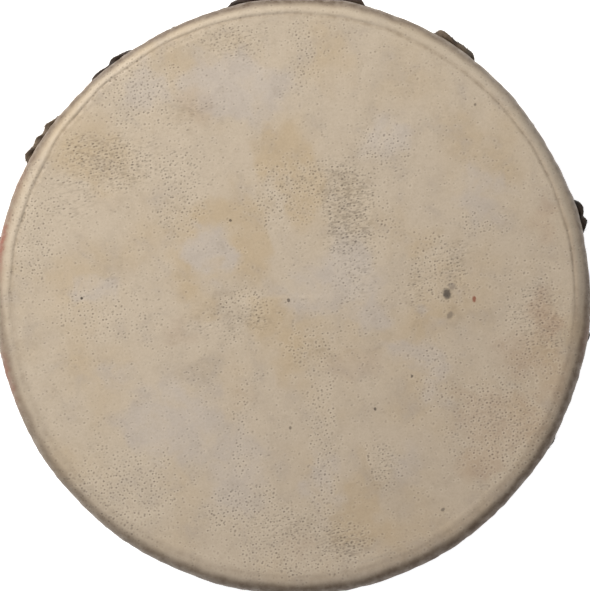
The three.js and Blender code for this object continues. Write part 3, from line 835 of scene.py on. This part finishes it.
def twistedThongTree():
    # curve in, twisted hairy strip out
    tree = bpy.data.node_groups.new("twistedThong", "GeometryNodeTree")
    sockets = {}
    for name, kind, value in (
            ("Geometry", "NodeSocketGeometry", None), ("Width", "NodeSocketFloat", 0.0047),
            ("Thickness", "NodeSocketFloat", 0.0025), ("Turn length", "NodeSocketFloat", 0.019),
            ("Roughness", "NodeSocketFloat", 0.0004), ("Hairs per area", "NodeSocketFloat", 200000.0),
            ("Hair length", "NodeSocketFloat", 0.004), ("Seed", "NodeSocketInt", 1),
            ("Material", "NodeSocketMaterial", None)):
        sockets[name] = tree.interface.new_socket(name, in_out="INPUT", socket_type=kind)
        if value is not None:
            sockets[name].default_value = value
    tree.interface.new_socket("Geometry", in_out="OUTPUT", socket_type="NodeSocketGeometry")
    given = tree.nodes.new("NodeGroupInput").outputs

    own = {name: addNode(tree, "GeometryNodeInputNamedAttribute", {"Name": name}, data_type=kind)
           for name, kind in (("girth", "FLOAT"), ("hairiness", "FLOAT"), ("way", "FLOAT_VECTOR"))}

    # the strip: its path is twisted, given its girth, and a flat section is drawn along it
    line = addNode(tree, "GeometryNodeMeshToCurve", {0: given["Geometry"]})
    length = addNode(tree, "GeometryNodeSplineParameter", out="Length")
    tangent = addNode(tree, "GeometryNodeInputTangent")
    for name, value, kind in (("along", length, "FLOAT"), ("way", tangent, "FLOAT_VECTOR")):
        line = addNode(tree, "GeometryNodeStoreNamedAttribute",
                       {"Geometry": line, "Name": name, "Value": value}, data_type=kind)
    drift = addNode(tree, "ShaderNodeTexNoise", {"W": length, "Scale": 40.0, "Detail": 1.0},
                    noise_dimensions="1D")
    sway = addNode(tree, "ShaderNodeMath", {0: drift, 1: 5.0}, operation="MULTIPLY")
    twist = addNode(tree, "ShaderNodeMath", {0: length, 1: given["Turn length"]}, operation="DIVIDE")
    for operation, value in (("MULTIPLY", 2 * math.pi), ("ADD", sway)):
        twist = addNode(tree, "ShaderNodeMath", {0: twist, 1: value}, operation=operation)
    line = addNode(tree, "GeometryNodeSetCurveTilt", {"Curve": line, "Tilt": twist})
    line = addNode(tree, "GeometryNodeSetCurveRadius", {"Curve": line, "Radius": own["girth"]})
    ring = addNode(tree, "GeometryNodeCurvePrimitiveCircle", {"Resolution": 14, "Radius": 0.5})
    turned = addNode(tree, "GeometryNodeSplineParameter")
    ring = addNode(tree, "GeometryNodeStoreNamedAttribute",
                   {"Geometry": ring, "Name": "around", "Value": turned}, data_type="FLOAT")
    section = addNode(tree, "ShaderNodeCombineXYZ", {0: given["Thickness"], 1: given["Width"], 2: 1.0})
    ring = addNode(tree, "GeometryNodeTransform", {"Geometry": ring, "Scale": section})
    strip = addNode(tree, "GeometryNodeCurveToMesh",
                    {"Curve": line, "Profile Curve": ring, "Scale": own["girth"], "Fill Caps": True})

    # its skin is lumpy
    lumps = addNode(tree, "ShaderNodeTexNoise", {"Scale": 330.0, "Detail": 3.0, "Roughness": 0.6},
                    noise_dimensions="3D")
    push = addNode(tree, "ShaderNodeMath", {0: lumps, 1: 0.5}, operation="SUBTRACT")
    height = addNode(tree, "ShaderNodeMath", {0: given["Roughness"], 1: 4.0}, operation="MULTIPLY")
    push = addNode(tree, "ShaderNodeMath", {0: push, 1: height}, operation="MULTIPLY")
    outward = addNode(tree, "GeometryNodeInputNormal")
    push = addNode(tree, "ShaderNodeVectorMath", {0: outward, "Scale": push}, operation="SCALE")
    strip = addNode(tree, "GeometryNodeSetPosition", {"Geometry": strip, "Offset": push})
    strip = addNode(tree, "GeometryNodeSetShadeSmooth", {"Geometry": strip})

    # hairs lie along it, lifted a little and each its own way
    hairy = addNode(tree, "ShaderNodeMath", {0: own["hairiness"], 1: given["Hairs per area"]},
                    operation="MULTIPLY")
    scatter = addNode(tree, "GeometryNodeDistributePointsOnFaces",
                      {"Mesh": strip, "Density": hairy, "Seed": given["Seed"]}).node.outputs
    lift = addNode(tree, "ShaderNodeVectorMath", {0: scatter["Normal"], "Scale": 0.42}, operation="SCALE")
    stray = addNode(tree, "FunctionNodeRandomValue", {0: (-0.5, -0.5, -0.5), 1: (0.5, 0.5, 0.5), "Seed": 3},
                    data_type="FLOAT_VECTOR")
    lean = own["way"]
    for part in (lift, stray):
        lean = addNode(tree, "ShaderNodeVectorMath", {0: lean, 1: part}, operation="ADD")
    aligned = addNode(tree, "FunctionNodeAlignRotationToVector", {"Vector": lean}, axis="Z")
    hair = addNode(tree, "GeometryNodeMeshCone", {"Vertices": 3, "Radius Bottom": 0.00013, "Radius Top": 0.0,
                                                  "Depth": given["Hair length"]}, fill_type="NONE")
    size = addNode(tree, "FunctionNodeRandomValue", {2: 0.45, 3: 1.25, "Seed": 5}, out=1, data_type="FLOAT")
    tall = addNode(tree, "ShaderNodeCombineXYZ", {0: 1.0, 1: 1.0, 2: size})
    hairs = addNode(tree, "GeometryNodeInstanceOnPoints",
                    {"Points": scatter["Points"], "Instance": hair, "Rotation": aligned, "Scale": tall})
    hairs = addNode(tree, "GeometryNodeRealizeInstances", {"Geometry": hairs})
    hairs = addNode(tree, "GeometryNodeStoreNamedAttribute",
                    {"Geometry": hairs, "Name": "isHair", "Value": 1.0}, data_type="FLOAT")
    whole = tree.nodes.new("GeometryNodeJoinGeometry")
    tree.links.new(hairs, whole.inputs[0])
    tree.links.new(strip, whole.inputs[0])
    whole = addNode(tree, "GeometryNodeRealizeInstances", {"Geometry": whole.outputs[0]})
    whole = addNode(tree, "GeometryNodeSetMaterial", {"Geometry": whole, "Material": given["Material"]})
    out = tree.nodes.new("NodeGroupOutput")
    tree.links.new(whole, out.inputs[0])
    return tree, sockets


def twistedHide():
    # Raw hide dried hard and dark from handling, dull, with goat hair left on it
    material, tree = newMaterial("twistedHairyHide")
    own = {name: addNode(tree, "ShaderNodeAttribute", out="Fac", attribute_name=name)
           for name in ("along", "around", "bleach", "isHair")}
    place = addNode(tree, "ShaderNodeTexCoord", out="Object")
    # fibres about 7 mm long run along the strip, 13 of them round it
    drawn = {axis: addNode(tree, "ShaderNodeMath", {0: own[name], 1: count}, operation="MULTIPLY")
             for axis, name, count in ((0, "along", 140.0), (1, "around", 13.0))}
    fibre = addNode(tree, "ShaderNodeCombineXYZ", drawn)
    streaks = addNode(tree, "ShaderNodeTexNoise", {"Vector": fibre, "Scale": 1.0, "Detail": 3.0},
                      noise_dimensions="2D")
    blotches = addNode(tree, "ShaderNodeTexNoise", {"Vector": place, "Scale": 160.0, "Detail": 3.0})
    fading = (0.35, 0.62, 0.2, 1.0)
    hide = stain(tree, linear(thong["dark"]), linear(thong["brown"]), 1.0, streaks, (0.35, 0.7, 0, 1))
    hide = stain(tree, hide, linear(thong["bleached"]), own["bleach"], blotches, fading)
    hair = stain(tree, linear(thong["brown"]), linear(thong["hair"]), 1.0, blotches, (0.4, 0.6, 0, 1))
    hair = stain(tree, hair, linear(thong["bleachedHair"]), own["bleach"], blotches, fading)
    colour = stain(tree, hide, hair, own["isHair"])
    bump = addNode(tree, "ShaderNodeBump", {"Strength": 0.7, "Distance": 0.0003, "Height": streaks})
    surface = addNode(tree, "ShaderNodeBsdfPrincipled",
                      {"Base Color": colour, "Roughness": 0.62, "Specular IOR Level": 0.3, "Normal": bump})
    addNode(tree, "ShaderNodeOutputMaterial", {"Surface": surface})
    return material


def makeLacing():
    strands = thongStrands()
    points = np.concatenate(strands)
    starts = np.cumsum([0] + [len(s) for s in strands])
    edges = [(i, i + 1) for first, last in zip(starts, starts[1:]) for i in range(first, last - 1)]
    mesh = bpy.data.meshes.new("lacing")
    mesh.from_pydata((points * mm).tolist(), edges, [])
    for name, table, usual in (("hairiness", thong["hairy"], 0.16), ("girth", thong["girth"], 1.0),
                               ("bleach", thong["bleach"], 0.15)):
        storeOnPoints(mesh, name, thongValue(points, table, usual))
    path = bpy.data.objects.new("thongPath", mesh)
    bpy.context.scene.collection.objects.link(path)
    tree, sockets = twistedThongTree()
    modifier = path.modifiers.new("thong", "NODES")
    modifier.node_group = tree
    for name, value in (("Width", thong["width"] * mm), ("Thickness", thong["thick"] * mm),
                        ("Turn length", thong["turn"] * mm), ("Roughness", thong["rough"] * mm),
                        ("Hairs per area", thong["hairs"]), ("Hair length", thong["hairLength"] * mm),
                        ("Seed", 7), ("Material", twistedHide())):
        modifier[sockets[name].identifier] = value
    graph = bpy.context.evaluated_depsgraph_get()
    finished = bpy.data.meshes.new_from_object(path.evaluated_get(graph))
    bpy.data.objects.remove(path)
    piece = bpy.data.objects.new("twistedLacing", finished)
    bpy.context.scene.collection.objects.link(piece)
    declare(piece, "hide_thong", "lacing")
    return piece


lacing = makeLacing()
print("lacing is made,", len(lacing.data.polygons), "faces")


# a hollow ring cut from one block, hollowed and smoothed with a crooked knife
hoop = {
    "bore": 134.0, "waist": 141.2, "side": 145.8, "rimTop": 1.8,
    "columns": 420, "cutDepth": 0.35, "cutWide": 15.0, "cutTall": 13.0, "seed": 9,
    "unevenness": 0.12, "grainWide": 1.3,       # grainWide: one band of the grain
    "wood": "#7b4430", "late": "#4c2619", "bare": "#a9805a", "ochre": "#8a3a26", "grime": "#2e1d16",
}


def knifeCuts(angles, heights, seed):
    # shallow scooped cuts in staggered rows, their edges left a little proud
    rng = np.random.default_rng(seed)
    dish = np.zeros(np.broadcast(angles, heights).shape)
    count = int(2 * math.pi * hoop["waist"] / hoop["cutWide"])
    tiers = int(round(drumHeight / hoop["cutTall"]))
    for tier in range(tiers):
        edges = (np.arange(count + 1) + np.concatenate([rng.uniform(-0.25, 0.25, count), [0]])) * 360 / count
        edges = edges + rng.uniform(0, 360 / count)
        edges[-1] = edges[0] + 360
        turned = (angles - edges[0]) % 360 + edges[0]
        cell = np.clip(np.searchsorted(edges, turned, side="right") - 1, 0, count - 1)
        u = (turned - edges[cell]) / (edges[cell + 1] - edges[cell]) * 2 - 1
        centre = (tier + 0.5) * drumHeight / tiers + rng.uniform(-2.5, 2.5, count)[cell]
        v = (heights - centre) / (hoop["cutTall"] * 0.62)
        deep = rng.uniform(0.5, 1.0, count)[cell]
        dish = np.maximum(dish, deep * (1 - u * u) * np.clip(1 - v * v, 0, 1))
    return dish


def frameProfile():
    # half of the section, bore to waist, as radius and depth below the playing face
    bore, side, top, crown = hoop["bore"], hoop["side"], hoop["rimTop"], skin["crownOuter"]
    lip = [(bore, 13.0), (bore, 10.0), (bore + 0.1, 8.6), (bore + 0.5, 7.2), (bore + 1.3, 5.6),
           (bore + 2.4, 4.2), (bore + 3.6, 3.1), (bore + 4.7, 2.35), (crown - 0.9, 1.95)]
    rim = [(crown + (side - crown) * math.sin(a), 9 - (9 - top) * math.cos(a))
           for a in np.radians(range(0, 91, 9))]
    neck = [(side - 0.35, 10.0), (side - 1.6, 10.9), (side - 3.4, 11.8),
            (143.0, 12.7), (142.0, 13.8), (141.5, 15.2)]
    waist = [(hoop["waist"], depth) for depth in np.arange(17.0, drumHeight / 2 + 0.1, 1.8125)]
    return lip + rim + neck + waist


def makeFrame(material):
    columns = hoop["columns"]
    half = frameProfile()
    profile = half + [(radius, drumHeight - depth) for radius, depth in half[::-1][1:]]
    profile += [(hoop["bore"], drumHeight - depth) for depth in np.linspace(19, drumHeight - 19, 12)]
    radii = np.array([p[0] for p in profile])[:, None]
    heights = drumHeight - np.array([p[1] for p in profile])[:, None]
    angles = np.arange(columns)[None, :] * 360 / columns
    radii, heights, angles = np.broadcast_arrays(radii, heights, angles)
    isOuter = (radii < hoop["waist"] + 2) & (radii > hoop["bore"] + 4)
    isWaist = isOuter & (np.abs(heights - drumHeight / 2) < 33)
    cuts = knifeCuts(angles, heights, hoop["seed"]) * isWaist
    inside = knifeCuts(angles + 5, heights + 4, hoop["seed"] + 1) * (radii < hoop["bore"] + 0.05)
    dressed = radii - hoop["cutDepth"] * cuts + 0.5 * hoop["cutDepth"] * inside
    dressed = dressed + hoop["unevenness"] * isWaist * wavyRound(angles, 3, 24, hoop["seed"] + 2)
    theta = np.radians(angles)
    points = np.stack([dressed * np.cos(theta), dressed * np.sin(theta), heights], -1).reshape(-1, 3)
    ids = np.arange(points.shape[0]).reshape(radii.shape)
    below, after = np.roll(ids, -1, axis=0), np.roll(ids, -1, axis=1)
    both = np.roll(below, -1, axis=1)
    faces = np.stack([ids, below, both, after], -1).reshape(-1, 4).tolist()
    piece = makePiece("carvedFrame", points, faces, material, "stained_wood", "frame")
    # grain runs round the hoop: its features are drawn out about 25 times along it
    reach = 5.5 + (radii - hoop["waist"]) / hoop["grainWide"]
    grain = np.stack([reach * np.cos(theta), reach * np.sin(theta), heights / hoop["grainWide"]], -1)
    storeOnPoints(piece.data, "grainPlace", grain.reshape(-1, 3))
    storeOnPoints(piece.data, "cut", cuts.ravel())
    return piece


def ochreWood():
    # Softwood cut across soft and hard grain, rubbed with red earth in fat: dull, worn pale on the ridges
    material, tree = newMaterial("ochreRubbedSoftwood")
    grainPlace = addNode(tree, "ShaderNodeAttribute", out="Vector", attribute_name="grainPlace")
    cut = addNode(tree, "ShaderNodeAttribute", out="Fac", attribute_name="cut")
    place = addNode(tree, "ShaderNodeTexCoord", out="Object")
    fibres = addNode(tree, "ShaderNodeTexNoise",
                     {"Vector": grainPlace, "Scale": 1.0, "Detail": 5.0, "Roughness": 0.65})
    rings = addNode(tree, "ShaderNodeTexNoise",
                    {"Vector": grainPlace, "Scale": 0.28, "Detail": 2.0, "Distortion": 0.6})
    stains = addNode(tree, "ShaderNodeTexNoise", {"Vector": place, "Scale": 38.0, "Detail": 4.0})

    ridges = addNode(tree, "ShaderNodeMapRange", {0: cut, 1: 0.0, 2: 0.35, 3: 0.16, 4: 0.0})
    colour = linear(hoop["wood"])
    # shade, strength, the noise that breaks it up, and two values of the noise with what each gives
    for shade, amount, noise, ends in (
            ("ochre", 1.0, rings, (0.35, 0.65, 0, 1)), ("late", 1.0, fibres, (0.45, 0.72, 0, 0.7)),
            ("grime", 1.0, stains, (0.5, 0.72, 0, 0.6)), ("bare", ridges, stains, (0.42, 0.62, 0, 1))):
        colour = stain(tree, colour, linear(hoop[shade]), amount, noise, ends)
    gloss = addNode(tree, "ShaderNodeMapRange", {0: fibres, 1: 0.3, 2: 0.7, 3: 0.55, 4: 0.8})
    bump = addNode(tree, "ShaderNodeBump", {"Strength": 0.5, "Distance": 0.0003, "Height": fibres})
    surface = addNode(tree, "ShaderNodeBsdfPrincipled",
                      {"Base Color": colour, "Roughness": gloss, "IOR": 1.5, "Specular IOR Level": 0.35,
                       "Normal": bump})
    addNode(tree, "ShaderNodeOutputMaterial", {"Surface": surface})
    return material


carvedFrame = makeFrame(ochreWood())
print("frame is made,", len(carvedFrame.data.polygons), "faces")
